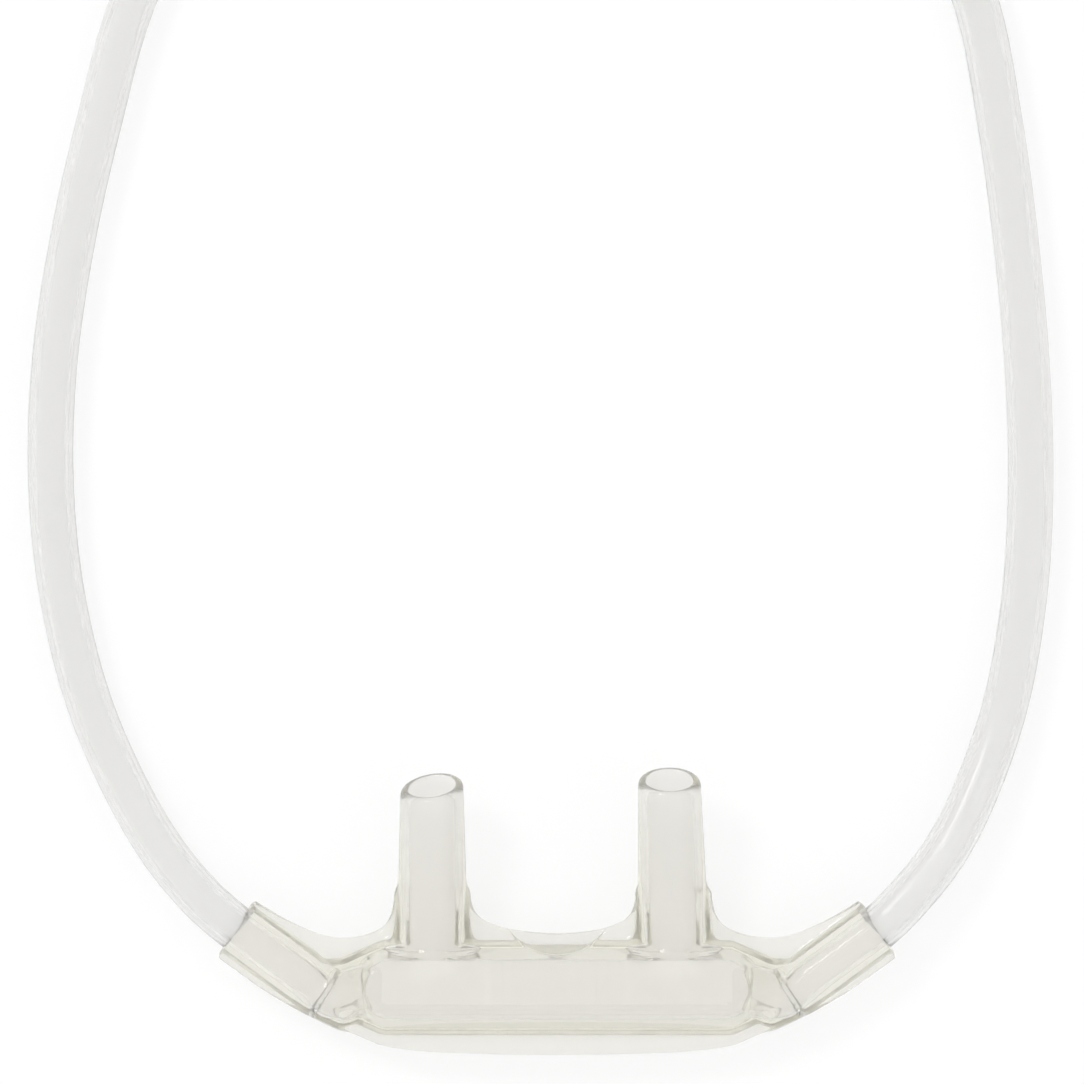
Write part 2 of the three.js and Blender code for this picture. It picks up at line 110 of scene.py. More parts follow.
Y_HEIGHT = COIL_TOP + PIECE_GAP + Y_HALF_HEIGHT
Y_ANGLE = 360 + 143
Y_RADIUS = 24.0
BEFORE_Y = 2.5
PAIR_SPACING = 3.7
OUTER_LAP_RADIUS = 34.6
INNER_LAP_RADIUS = 26.5
LAP_START_ANGLE = -30
LAP_STEP_IN_ANGLE = 200
LAP_STEP_WIDTH = 90
LAP_END_BEFORE_Y = 44
LAP_POINTS = 34
LAP_RISE_WIDTH = 30
LAP_RISE_SHARE = 0.4
CONNECTOR_X = -32.7
CONNECTOR_TUBE_END_Y = 168.5
CONNECTOR_SOCKET_DEPTH = 11.0
CONNECTOR_HEIGHT = 6.4

# Meshes: steps along the tubes, sides round them, and the moulding's grid, in millimetres
HEAD_TUBE_STEP = 1.6
SUPPLY_STEP = 2.0
HEAD_TUBE_SIDES = 24
SUPPLY_SIDES = 20
TUBE_END_EDGE = 0.05
GRID_LOW = (-26.2, -11.6, -0.9)
GRID_HIGH = (26.2, 11.8, 10.2)
GRID_CELL = 0.182
SPLINE_POINTS = 24
OUTLINE_POINTS = 14
MM_PER_MAP_UNIT = 10

# How the grid's vertices move on to the surface: times, largest share of a cell, and small limits
MOVES = 4
LARGEST_MOVE = 0.6
NUDGE = 0.02
LEAST_STEEPNESS = 0.05
LEAST_SLOPE = 1e-6

# Finer shapes of the moulding, in millimetres
TUBE_SHOWN_IN_SLEEVE = 0.3
CLIP_START = 1.0
CLIP_RAMP = 3.0
TUBE_END_GAP = 0.4
LOOK_FLANGE_THICKNESS = 1.4
BAR_CORNER_X = 13.0
BAR_CORNER_ANGLE = 24 * DEGREE
BAR_END_X = 16.9
BAR_END_SLOPE = 10 * DEGREE
SHOULDER_X = 14.2
SHOULDER_SLOPE = 27 * DEGREE
BOSS_RADIUS = 2.0
NECK_START = 6.5
NECK_END = 10.5
NECK_SWELL = 0.45
PRONG_ROOT_RADIUS = 2.7
LEFT_PRONG_X = -9.2
RIGHT_PRONG_X = 8.68
RIGHT_PRONG_LEAN = -0.03
LEFT_TIP_SHORTER = 0.5
LEFT_TIP_TILT = 0.14
LOOK_BORE_RADIUS = 1.72
SEPTUM_CUT_RADIUS = 4.2
SEPTUM_CUT_DEPTH = 1.5
SEPTUM_FLOOR = 0.35
CHAMBER_STRAIGHT_X = 12.2
CHAMBER_HALF_WIDTH = 1.95
CHAMBER_HALF_HEIGHT = 2.3
PASSAGE_RADIUS = 1.3
MOUTH_Y = -3.25
MOUTH_HALF_WIDTH = 3.6
MOUTH_DEPTH = 0.6
MOUTH_HALF_HEIGHT = 1.25
LEAST_MOUTH_SLOPE = 0.05
BORE_START = 0.5
PASSAGE_START = 0.6
PASSAGE_END = 0.6
CLIP_ACROSS = 0.93
CLIP_UP = 0.37

# How widely the moulding's edges are rounded and its forms run into each other, in millimetres
BAR_FLAT_EDGE = 0.3
BAR_END_EDGE = 0.5
FLANGE_EDGE = 0.35
MOUTH_EDGE = 0.12
CLIP_EDGE = 0.1
CLIP_EDGE_GROWTH = 0.3
PRONG_TIP_EDGE = 0.55
SEPTUM_FLOOR_EDGE = 0.2
SEPTUM_EDGE = 0.15
CHAMBER_EDGE = 0.5
BORE_EDGE = 0.3
TUBE_BORE_EDGE = 0.2
TUBE_GAP_EDGE = 0.1
HOLLOW_EDGE = 0.3
SLEEVE_BLEND = 1.0
FLANGE_BLEND = 0.8
PRONG_BLEND = 1.2
BORE_BLEND = 0.9
MOUTH_BLEND = 0.5
PASSAGE_BLEND = 0.5
TUBE_BORE_BLEND = 0.12

# Light and plastic
WORLD_LIGHT = 0.9
KEY_POWER = 1.6
FILL_POWER = 0.3
KEY_PLACE = (-0.4, 0.4, 0.7)
KEY_SIZE = 0.2
FILL_PLACE = (0.5, -0.3, 0.6)
FILL_SIZE = 0.5
LIGHT_AIM = (0, 0.03, 0)
FLOOR_SIDE = 4.0
FLOOR_MIDDLE = (0, 0.1, 0)
FLOOR_ROUGHNESS = 0.9
FLOOR_SHINE = 0.1
FLOOR_COLOUR = 0.25
FLOOR_GLOW = 0.745
PVC_COLOUR = (0.974, 0.965, 0.955)
PVC_CLEARNESS = 0.78
PVC_INDEX = 1.32
PVC_ROUGHNESS = 0.07
PVC_TINT = (0.9, 0.885, 0.66)
PVC_TINT_DENSITY = 120
TUBING_COLOUR = (0.975, 0.972, 0.966)
TUBING_CLEARNESS = 0.78
TUBING_INDEX = 1.3
TUBING_ROUGHNESS = 0.17
TUBING_TINT = (0.96, 0.955, 0.9)
TUBING_TINT_DENSITY = 40
STREAK_STRETCH = (14, 0.35, 1)
STREAK_DETAIL = 4.0
STREAK_STRENGTH = 0.25
RIGID_COLOUR = (0.96, 0.965, 0.965)
RIGID_CLEARNESS = 0.92
RIGID_INDEX = 1.42
RIGID_ROUGHNESS = 0.05
RIGID_TINT = (0.9, 0.93, 0.93)
RIGID_TINT_DENSITY = 40
BAND_COLOUR = (0.86, 0.86, 0.84)
BAND_ROUGHNESS = 0.55
BAND_GRAIN_SCALE = 900
BAND_GRAIN_STRENGTH = 0.25
BAND_GRAIN_HEIGHT = 0.0001
WAVE_HEIGHT = 0.0002
WAVE_DETAIL = 2.0
PVC_WAVES = (260, 0.05)
TUBING_WAVES = (300, 0.08)
RIGID_WAVES = (200, 0.03)

LEFT_ROUTE = [
    (-26.2, 0.8, 3.3),
    (-29.7, 5.1, 2.8),
    (-34.2, 14.0, 1.9),
    (-36.6, 22.9, 1.75),
    (-37.5, 31.8, 1.75),
    (-37.2, 40.7, 1.75),
    (-35.9, 49.5, 1.75),
    (-33.9, 58.4, 1.75),
    (-31.4, 67.3, 1.75),
    (-26.9, 76.0, 1.75),
    (-19.3, 84.0, 1.75),
    (-10.6, 90.6, 1.9),
    (-4.3, 96.8, 2.8),
]

RIGHT_ROUTE = [
    (25.9, 0.8, 3.3),
    (29.2, 5.1, 2.8),
    (32.9, 14.0, 1.9),
    (34.6, 22.9, 1.75),
    (35.1, 31.8, 1.75),
    (34.8, 40.7, 1.75),
    (34.0, 49.5, 1.75),
    (32.8, 58.4, 1.75),
    (31.0, 67.3, 1.75),
    (27.2, 76.0, 1.75),
    (19.6, 84.2, 1.75),
    (10.6, 90.8, 1.9),
    (4.3, 96.8, 2.8),
]

PAIR_IN_SLIDE = 4
PAIR_ROUTE = [
    (0, 102.5, SLIDE_HALF_HEIGHT),
    (0, 109.0, SLIDE_HALF_HEIGHT),
    (0, 120.0, SLIDE_HALF_HEIGHT),
    (0, 132.0, SLIDE_HALF_HEIGHT),
    (1.0, 139.0, 5.3),
    (4.2, 146.0, 9.6),
    (9.0, 152.5, 14.2),
    (14.3, 158.4, 17.5),
    (19.6, 164.6, LAP_HEIGHT),
    (25.0, 172.4, LAP_HEIGHT),
]

TAIL_ROUTE = [
    (-34.2, 173.4, 4.9),
    (CONNECTOR_X, CONNECTOR_TUBE_END_Y, CONNECTOR_HEIGHT),
    (CONNECTOR_X, CONNECTOR_TUBE_END_Y - CONNECTOR_SOCKET_DEPTH + PIECE_GAP, CONNECTOR_HEIGHT),
]


def smooth_step(value):
    t = min(max(value, 0.0), 1.0)
    return t * t * (3 - 2 * t)


# Camera


def add_camera():
    """Straight above the middle of the photograph's frame, and as wide as it at the part's height."""
    middle = PICTURE_SIDE / 2
    x = (middle - ORIGIN_PIXEL[0]) * MM_PER_PIXEL
    y = (ORIGIN_PIXEL[1] - middle) * MM_PER_PIXEL
    data = bpy.data.cameras.new("camera")
    camera = bpy.data.objects.new("camera", data)
    bpy.context.scene.collection.objects.link(camera)
    camera.location = (x * MM, y * MM, CAMERA_HEIGHT * MM)
    half_side = PICTURE_SIDE * MM_PER_PIXEL / 2
    data.sensor_fit = "HORIZONTAL"
    data.angle = 2 * math.atan(half_side / (CAMERA_HEIGHT - AIM_HEIGHT))
    data.clip_start = CAMERA_NEAR
    data.clip_end = CAMERA_FAR
    bpy.context.scene.camera = camera


def set_picture_look():
    """Plain white stays white, as in the photograph."""
    settings = bpy.context.scene.view_settings
    settings.view_transform = "Standard"
    settings.look = "None"
    settings.exposure = 0
    settings.gamma = 1


add_camera()
set_picture_look()

# Curves


def spline_pieces(points):
    """Centripetal Catmull-Rom pieces through the points, each as a function of t from 0 to 1."""
    points = [np.array(point, dtype=float) for point in points]
    padded = [2 * points[0] - points[1], *points, 2 * points[-1] - points[-2]]
    pieces = []
    for a, b, c, d in zip(padded, padded[1:], padded[2:], padded[3:]):
        gap_ab = math.sqrt(np.linalg.norm(b - a))
        gap_bc = math.sqrt(np.linalg.norm(c - b))
        gap_cd = math.sqrt(np.linalg.norm(d - c))
        slope_b = ((b - a) / gap_ab - (c - a) / (gap_ab + gap_bc) + (c - b) / gap_bc) * gap_bc
        slope_c = ((c - b) / gap_bc - (d - b) / (gap_bc + gap_cd) + (d - c) / gap_cd) * gap_bc
        pieces.append((b, c, slope_b, slope_c))
    return pieces


def spline(points, step, skip=0.0):
    """Points at even steps along the smooth curve through the points, from the length skip on."""
    dense = []
    for start, end, slope_start, slope_end in spline_pieces(points):
        for t in np.linspace(0, 1, SPLINE_POINTS, endpoint=False):
            square = t * t
            cube = square * t
            dense.append(
                (2 * cube - 3 * square + 1) * start
                + (cube - 2 * square + t) * slope_start
                + (3 * square - 2 * cube) * end
                + (cube - square) * slope_end
            )
    dense.append(np.array(points[-1], dtype=float))
    dense = np.array(dense)
    lengths = np.concatenate([[0], np.cumsum(np.linalg.norm(np.diff(dense, axis=0), axis=1))])
    count = max(2, round((lengths[-1] - skip) / step) + 1)
    wanted = np.linspace(skip, lengths[-1], count)
    return np.stack([np.interp(wanted, lengths, dense[:, axis]) for axis in range(3)], axis=1)


def length_of(path):
    """The length of a path of points."""
    return float(np.linalg.norm(np.diff(path, axis=0), axis=1).sum())


def on_coil(angle, radius, height):
    """A place round the coil's middle, the angle in degrees."""
    return np.array([
        radius * math.cos(angle * DEGREE),
        COIL_CENTRE_Y + radius * math.sin(angle * DEGREE),
        height,
    ])


def sleeve_point(side, inward):
    """A place on a sleeve's axis, so far in from its mouth."""
    return np.array([
        side * (SLEEVE_END_X - inward * math.cos(SLEEVE_ANGLE)),
        SLEEVE_END_Y - inward * math.sin(SLEEVE_ANGLE),
        MID_HEIGHT,
    ])


Y_FORWARD = np.array([-math.sin(Y_ANGLE * DEGREE), math.cos(Y_ANGLE * DEGREE), 0])
Y_SIDEWAYS = np.array([math.cos(Y_ANGLE * DEGREE), math.sin(Y_ANGLE * DEGREE), 0])


def y_point(along, sideways=0.0):
    """A place in or beside the Y joint, so far along it from the head tubes' end."""
    middle = on_coil(Y_ANGLE, Y_RADIUS, Y_HEIGHT)
    return middle + (along - Y_LENGTH / 2) * Y_FORWARD + sideways * Y_SIDEWAYS


def pair_middle():
    """The middle line of the two head tubes from the adjuster over the coil to near the Y joint."""
    points = [np.array(point, dtype=float) for point in PAIR_ROUTE]
    end_angle = Y_ANGLE - LAP_END_BEFORE_Y
    for i in range(LAP_POINTS + 1):
        angle = LAP_START_ANGLE + (end_angle - LAP_START_ANGLE) * i / LAP_POINTS
        step_in = smooth_step((angle - LAP_STEP_IN_ANGLE) / LAP_STEP_WIDTH)
        radius = OUTER_LAP_RADIUS + (INNER_LAP_RADIUS - OUTER_LAP_RADIUS) * step_in
        rise = smooth_step((angle - end_angle + LAP_RISE_WIDTH) / LAP_RISE_WIDTH)
        height = LAP_HEIGHT + LAP_RISE_SHARE * rise * (Y_HEIGHT - LAP_HEIGHT)
        points.append(on_coil(angle, radius, height))
    return points


def beside_pair(middle, side):
    """One tube of the pair, half the spacing there beside the middle line."""
    points = []
    for i, point in enumerate(middle):
        before = middle[max(i - 1, 0)]
        after = middle[min(i + 1, len(middle) - 1)]
        across = np.array([after[1] - before[1], before[0] - after[0], 0])
        across = across / np.linalg.norm(across)
        spacing = SLIDE_TUBE_SPACING if i < PAIR_IN_SLIDE else PAIR_SPACING
        points.append(point + side * spacing / 2 * across)
    return points


def head_tube_path(side, route):
    """From just inside the sleeve's mouth, by its route and beside the pair, into the Y joint."""
    in_sleeve = [HEAD_TUBE_INSERTED, HEAD_TUBE_INSERTED / 2, 0]
    in_y = [-BEFORE_Y, PIECE_GAP, Y_TWIN_DEPTH / 2, Y_TWIN_DEPTH - PIECE_GAP]
    points = [sleeve_point(side, inward) for inward in in_sleeve]
    points += route
    points += beside_pair(pair_middle(), side)
    points += [y_point(along, side * Y_TWIN_SPACING / 2) for along in in_y]
    return spline(points, HEAD_TUBE_STEP, HEAD_TUBE_INSERTED - TUBE_SHOWN_IN_SLEEVE)


# The supply tube's turns: where it moves by one column or one row, as angles, from the Y joint on
COIL_FIRST_ANGLE = 250
COIL_LAST_ANGLE = 3740
COIL_POINT_STEP = 10
COLUMN_STEP_WIDTH = 90
ROW_STEP_WIDTH = 80
FIRST_COLUMN = 1
FIRST_ROW = 2
COLUMN_STEPS = [
    (450, 1),
    (810, 1),
    (1440, -1),
    (1800, -1),
    (2160, -1),
    (2790, 1),
    (3150, 1),
    (3510, 1),
]
ROW_STEPS = [1170, 2520]
COLUMN_COUNT = 4

# The supply tube's way off the Y joint: degrees on from it, then millimetres outwards and down
SUPPLY_LEAD = [
    (36, 3.6, 0.5),
    (50, 3.0, 1.6),
    (68, 2.2, 3.9),
    (84, 1.6, 5.7),
]
COIL_END_ANGLE = 180
COIL_END_IN = 0.2
COIL_END_BACK = 9.0


def supply_path():
    """From inside the Y joint down on to the coil, round its turns and into the connector."""
    points = [
        y_point(Y_LENGTH - Y_SINGLE_DEPTH + PIECE_GAP),
        y_point(Y_LENGTH),
    ]
    for turn, outwards, down in SUPPLY_LEAD:
        points.append(on_coil(Y_ANGLE + turn, Y_RADIUS + outwards, Y_HEIGHT - down))
    for angle in np.arange(COIL_FIRST_ANGLE, COIL_LAST_ANGLE + 1, COIL_POINT_STEP):
        column = FIRST_COLUMN
        for start, change in COLUMN_STEPS:
            column += change * smooth_step((angle - start) / COLUMN_STEP_WIDTH)
        row = FIRST_ROW
        for start in ROW_STEPS:
            row -= smooth_step((angle - start) / ROW_STEP_WIDTH)
        radius = INNER_TURN_RADIUS + column * TURN_PITCH
        points.append(on_coil(angle, radius, BOTTOM_ROW_HEIGHT + row * TURN_PITCH))
    outer = INNER_TURN_RADIUS + (COLUMN_COUNT - 1) * TURN_PITCH
    points.append(on_coil(COIL_END_ANGLE, outer, BOTTOM_ROW_HEIGHT))
    points.append(np.array([COIL_END_IN - outer, COIL_CENTRE_Y - COIL_END_BACK, BOTTOM_ROW_HEIGHT]))
    points += TAIL_ROUTE
    return spline(points, SUPPLY_STEP)


# Meshes


def new_object(name, mesh):
    piece = bpy.data.objects.new(name, mesh)
    bpy.context.scene.collection.objects.link(piece)
    return piece


def shade_smooth(mesh):
    mesh.polygons.foreach_set("use_smooth", [True] * len(mesh.polygons))
    mesh.update()


def mesh_piece(name, verts, faces):
    """An object from vertices in millimetres."""
    mesh = bpy.data.meshes.new(name)
    mesh.from_pydata((np.array(verts) * MM).tolist(), [], [list(face) for face in faces])
    mesh.validate()
    shade_smooth(mesh)
    return new_object(name, mesh)


def frames_along(path):
    """Two directions across the path at each point, turned as little as possible from point to point."""
    tangents = np.gradient(path, axis=0)
    tangents /= np.linalg.norm(tangents, axis=1)[:, None]
    across = np.cross(tangents[0], (0.0, 0.0, 1.0))
    across /= np.linalg.norm(across)
    firsts = []
    for tangent in tangents:
        across = across - tangent * np.dot(across, tangent)
        across /= np.linalg.norm(across)
        firsts.append(across)
    firsts = np.array(firsts)
    return firsts, np.cross(tangents, firsts)


def tube_piece(name, path, outer_radius, bore_radius, sides, edge=TUBE_END_EDGE):
    """A hollow tube along a path, with slightly rounded ends."""
    firsts, seconds = frames_along(path)
    angles = np.arange(sides) * 2 * math.pi / sides
    ring = np.cos(angles)[None, :, None] * firsts[:, None, :]
    ring = ring + np.sin(angles)[None, :, None] * seconds[:, None, :]
    outside = path[:, None, :] + outer_radius * ring
    inside = path[:, None, :] + bore_radius * ring
    start_tangent = (path[1] - path[0]) / np.linalg.norm(path[1] - path[0])
    end_tangent = (path[-1] - path[-2]) / np.linalg.norm(path[-1] - path[-2])
    start_lip = path[0] + (outer_radius - edge) * ring[0]
    end_lip = path[-1] + (outer_radius - edge) * ring[-1]
    start_bore = path[0] + (bore_radius + edge) * ring[0]
    end_bore = path[-1] + (bore_radius + edge) * ring[-1]
    outside[0] += edge * start_tangent
    outside[-1] -= edge * end_tangent
    inside[0] += edge * start_tangent
    inside[-1] -= edge * end_tangent
    loops = [*outside, end_lip, end_bore, *inside[::-1], start_bore, start_lip]
    verts = np.concatenate(loops)
    count = len(loops)
    faces = []
    for i in range(count):
        here = i * sides
        after = ((i + 1) % count) * sides
        for j in range(sides):
            k = (j + 1) % sides
            faces.append((here + j, here + k, after + k, after + j))
    piece = mesh_piece(name, verts, faces)
    add_tube_map(piece.data, sides, count, length_of(path))
    return piece


def add_tube_map(mesh, sides, count, length):
    """Map coordinates: once round the tube, and along it in centimetres."""
    layer = mesh.uv_layers.new(name="round_and_along")
    corners = np.empty(len(mesh.loops), dtype=np.int64)
    mesh.loops.foreach_get("vertex_index", corners)
    ring = corners // sides
    place = corners % sides
    starts = np.repeat(place[::4], 4)
    around = np.where((place == 0) & (starts == sides - 1), sides, place) / sides
    half = (count - 4) // 2
    along = np.where(ring < half, ring, np.maximum(count - 3 - ring, 0)) / half * length / MM_PER_MAP_UNIT
    layer.data.foreach_set("uv", np.stack([around, along], axis=1).ravel())


# Smooth distance functions


def smooth_max(a, b, width):
    h = np.clip(0.5 + 0.5 * (a - b) / width, 0, 1)
    return b + (a - b) * h + width * h * (1 - h)


def smooth_min(a, b, width):
    return -smooth_max(-a, -b, width)


def bar_distance(ax, dy, dz):
    """The six-sided bar: flat above and below, sloped sides, and ends cut back towards the sleeves."""
    slope = math.hypot(MID_HEIGHT, BODY_WIDEST_WIDTH / 2 - BODY_FLAT_WIDTH / 2)
    normal_y = MID_HEIGHT / slope
    normal_z = (BODY_WIDEST_WIDTH - BODY_FLAT_WIDTH) / 2 / slope
    rise = normal_z * np.abs(dz)
    half = BODY_WIDEST_WIDTH / 2
    upper = normal_y * (dy - half) + rise
    lower = normal_y * (-dy - half) + rise
    beyond = (ax - BAR_CORNER_X) * math.sin(BAR_CORNER_ANGLE)
    cut_back = normal_y * (beyond + (np.abs(dy) - half) * math.cos(BAR_CORNER_ANGLE)) + rise
    end = math.cos(BAR_END_SLOPE) * (ax - BAR_END_X) + math.sin(BAR_END_SLOPE) * np.abs(dz)
    over = np.abs(dz) - MID_HEIGHT
    shoulder = math.sin(SHOULDER_SLOPE) * (ax - SHOULDER_X) + math.cos(SHOULDER_SLOPE) * over
    sides = np.maximum(np.maximum(upper, lower), cut_back)
    sides = smooth_max(sides, over, BAR_FLAT_EDGE)
    sides = smooth_max(sides, shoulder, BAR_END_EDGE)
    return smooth_max(sides, end, BAR_END_EDGE)


def prong_place(x, y, z):
    """Distance from the prong's bent axis, how far along it a point is, and how far to the side."""
    turn_per_length = (PRONG_TIP_ANGLE - PRONG_BASE_ANGLE) / PRONG_LENGTH
    arc_radius = 1 / turn_per_length
    centre_y = PRONG_START_Y - arc_radius * math.sin(PRONG_BASE_ANGLE)
    centre_z = MID_HEIGHT + arc_radius * math.cos(PRONG_BASE_ANGLE)
    reach = np.hypot(y - centre_y, z - centre_z)
    angle = np.arctan2(y - centre_y, centre_z - z)
    along = (angle - PRONG_BASE_ANGLE) / turn_per_length
    middle = np.where(x < 0, LEFT_PRONG_X, RIGHT_PRONG_X + RIGHT_PRONG_LEAN * along)
    sideways = x - middle
    return np.hypot(sideways, arc_radius - reach), along, sideways


def sleeve_place(x, y, z):
    """Distance from the sleeve's axis, and how far in from its open end a point is."""
    dx = np.abs(x) - SLEEVE_END_X
    dy = y - SLEEVE_END_Y
    inward = -dx * math.cos(SLEEVE_ANGLE) - dy * math.sin(SLEEVE_ANGLE)
    across = -dx * math.sin(SLEEVE_ANGLE) + dy * math.cos(SLEEVE_ANGLE)
    return np.hypot(across, z - MID_HEIGHT), inward


def curve_points(start, control, end):
    """Points along a curve that leaves start towards control and reaches end from it."""
    t = np.linspace(0, 1, OUTLINE_POINTS, endpoint=False)[:, None]
    start, control, end = (np.array(point, dtype=float) for point in (start, control, end))
    return (1 - t) ** 2 * start + 2 * t * (1 - t) * control + t ** 2 * end


def half_outline(prong_x):
    """Half of the flange seen from above, from the bridge between the prongs round to the lower rim."""
    across_x = SLEEVE_RADIUS * math.sin(SLEEVE_ANGLE)
    across_y = SLEEVE_RADIUS * math.cos(SLEEVE_ANGLE)
    inner_x = prong_x - PRONG_BASE_RADIUS
    outer_x = prong_x + PRONG_BASE_RADIUS
    bridge = (0, BRIDGE_Y)
    valley = (VALLEY_X, VALLEY_Y)
    upper = (SLEEVE_END_X - across_x, SLEEVE_END_Y + across_y)
    lower = (SLEEVE_END_X + across_x - UNDER_SLEEVE_IN, SLEEVE_END_Y - across_y - UNDER_SLEEVE_IN)
    under_prong = (PRONG_X, FLANGE_BOTTOM_Y + UNDER_PRONG_RISE)
    bottom = (0, FLANGE_BOTTOM_Y)
    return np.concatenate([
        curve_points(bridge, (inner_x, BRIDGE_Y + BRIDGE_RISE), (inner_x, PRONG_FILLET_TOP_Y)),
        [(inner_x, PRONG_FILLET_TOP_Y)],
        curve_points((outer_x, PRONG_FILLET_TOP_Y), (outer_x + VALLEY_LEAN, VALLEY_Y), valley),
        curve_points(valley, (VALLEY_X + VALLEY_REACH, VALLEY_Y + VALLEY_RISE), upper),
        [upper, lower],
        curve_points(FLANGE_UNDER_SLEEVE, TOWARDS_BEND, FLANGE_BEND),
        curve_points(FLANGE_BEND, TOWARDS_CORNER, FLANGE_CORNER),
        curve_points(FLANGE_CORNER, TOWARDS_BOTTOM, under_prong),
        curve_points(under_prong, (PRONG_X / 2, FLANGE_BOTTOM_Y), bottom),
        [bottom],
    ])


def flange_outline():
    right = half_outline(RIGHT_PRONG_X)
    left = half_outline(-LEFT_PRONG_X)[1:-1][::-1] * np.array([-1, 1])
    return np.concatenate([right, left])


def outline_distance(outline, x, y):
    """Signed distance in the plane from a closed outline, negative inside."""
    nearest = np.full(x.shape, 1e9)
    inside = np.zeros(x.shape, dtype=bool)
    for (x1, y1), (x2, y2) in zip(outline, np.roll(outline, -1, axis=0)):
        ex = x2 - x1
        ey = y2 - y1
        size = ex * ex + ey * ey
        if size == 0:
            continue
        t = np.clip(((x - x1) * ex + (y - y1) * ey) / size, 0, 1)
        nearest = np.minimum(nearest, np.hypot(x - x1 - t * ex, y - y1 - t * ey))
        if y1 != y2:
            crosses = ((y1 > y) != (y2 > y)) & (x < ex * (y - y1) / ey + x1)
            inside ^= crosses
    return np.where(inside, -nearest, nearest)


FLANGE = flange_outline()


def sleeve_distance(sleeve_r, sleeve_in, flange, dz):
    """A sleeve's round wall, thicker at its neck, cut square at the mouth and kept inside the flange."""
    swell = NECK_SWELL * np.clip((sleeve_in - NECK_START) / (NECK_END - NECK_START), 0, 1)
    ends = np.abs(sleeve_in - NECK_END / 2) - NECK_END / 2
    sleeve = smooth_max(sleeve_r - BOSS_RADIUS - swell, ends, MOUTH_EDGE)
    inner = np.clip((sleeve_in - CLIP_START) / CLIP_RAMP, 0, 1)
    clip = CLIP_ACROSS * flange + CLIP_UP * np.abs(dz) * inner
    return smooth_max(sleeve, clip, CLIP_EDGE + CLIP_EDGE_GROWTH * inner)


def prong_distance(x, prong_r, prong_s, prong_side):
    """A tapered prong with a rounded tip, the left one a little shorter and cut slantwise."""
    left_length = PRONG_LENGTH - LEFT_TIP_SHORTER + LEFT_TIP_TILT * prong_side
    length = np.where(x < 0, left_length, PRONG_LENGTH)
    taper = np.clip(prong_s / PRONG_LENGTH, 0, 1)
    radius = PRONG_ROOT_RADIUS + (PRONG_TIP_RADIUS - PRONG_ROOT_RADIUS) * taper
    return smooth_max(prong_r - radius, np.maximum(prong_s - length, -prong_s), PRONG_TIP_EDGE)


def septum_cut(x, y, dz):
    """The crescent cut back between the prongs."""
    centre_y = BRIDGE_Y - SEPTUM_CUT_DEPTH + SEPTUM_CUT_RADIUS
    return smooth_max(np.hypot(x, y - centre_y) - SEPTUM_CUT_RADIUS, SEPTUM_FLOOR - dz, SEPTUM_FLOOR_EDGE)


def mouth_distance(prong_side, y, dz):
    """The flat oval where a prong's bore opens into the chamber."""
    u = prong_side / MOUTH_HALF_WIDTH
    v = (y - MOUTH_Y) / MOUTH_DEPTH
    w = dz / MOUTH_HALF_HEIGHT
    size = np.sqrt(u ** 2 + v ** 2 + w ** 2)
    slope = np.sqrt((u / MOUTH_HALF_WIDTH) ** 2 + (v / MOUTH_DEPTH) ** 2 + (w / MOUTH_HALF_HEIGHT) ** 2)
    return size * (size - 1) / np.maximum(slope, LEAST_MOUTH_SLOPE)


def passage_distance(ax, y, dz):
    """The air way from the head tube's end to the chamber."""
    start = sleeve_point(1, HEAD_TUBE_INSERTED + PASSAGE_START)[:2]
    reach = np.array([CHAMBER_STRAIGHT_X + PASSAGE_END, BODY_CENTRE_Y]) - start
    t = np.clip(((ax - start[0]) * reach[0] + (y - start[1]) * reach[1]) / reach.dot(reach), 0, 1)
    off_line = np.hypot(ax - start[0] - t * reach[0], y - start[1] - t * reach[1])
    return np.hypot(off_line, dz) - PASSAGE_RADIUS


def hollow_distance(ax, y, dz, sleeve_r, sleeve_in, prong_r, prong_s, prong_side):
    """The chamber, the prongs' bores and the way in from each head tube."""
    chamber = np.hypot(np.maximum(ax - CHAMBER_STRAIGHT_X, 0), y - BODY_CENTRE_Y) - CHAMBER_HALF_WIDTH
    chamber = smooth_max(chamber, np.abs(dz) - CHAMBER_HALF_HEIGHT, CHAMBER_EDGE)
    bore = smooth_max(prong_r - LOOK_BORE_RADIUS, BORE_START - prong_s, BORE_EDGE)
    tube_bore = smooth_max(
        sleeve_r - HEAD_TUBE_BORE / 2, sleeve_in - HEAD_TUBE_INSERTED - TUBE_END_GAP / 2, TUBE_BORE_EDGE
    )
    tube_end = np.abs(sleeve_in - HEAD_TUBE_INSERTED - TUBE_END_GAP / 2) - TUBE_END_GAP / 2
    tube_end = smooth_max(sleeve_r - HEAD_TUBE_DIAMETER / 2, tube_end, TUBE_GAP_EDGE)
    hollow = smooth_min(chamber, bore, BORE_BLEND)
    hollow = smooth_min(hollow, mouth_distance(prong_side, y, dz), MOUTH_BLEND)
    hollow = smooth_min(hollow, passage_distance(ax, y, dz), PASSAGE_BLEND)
    hollow = smooth_min(hollow, tube_bore, TUBE_BORE_BLEND)
    return smooth_min(hollow, tube_end, TUBE_GAP_EDGE)


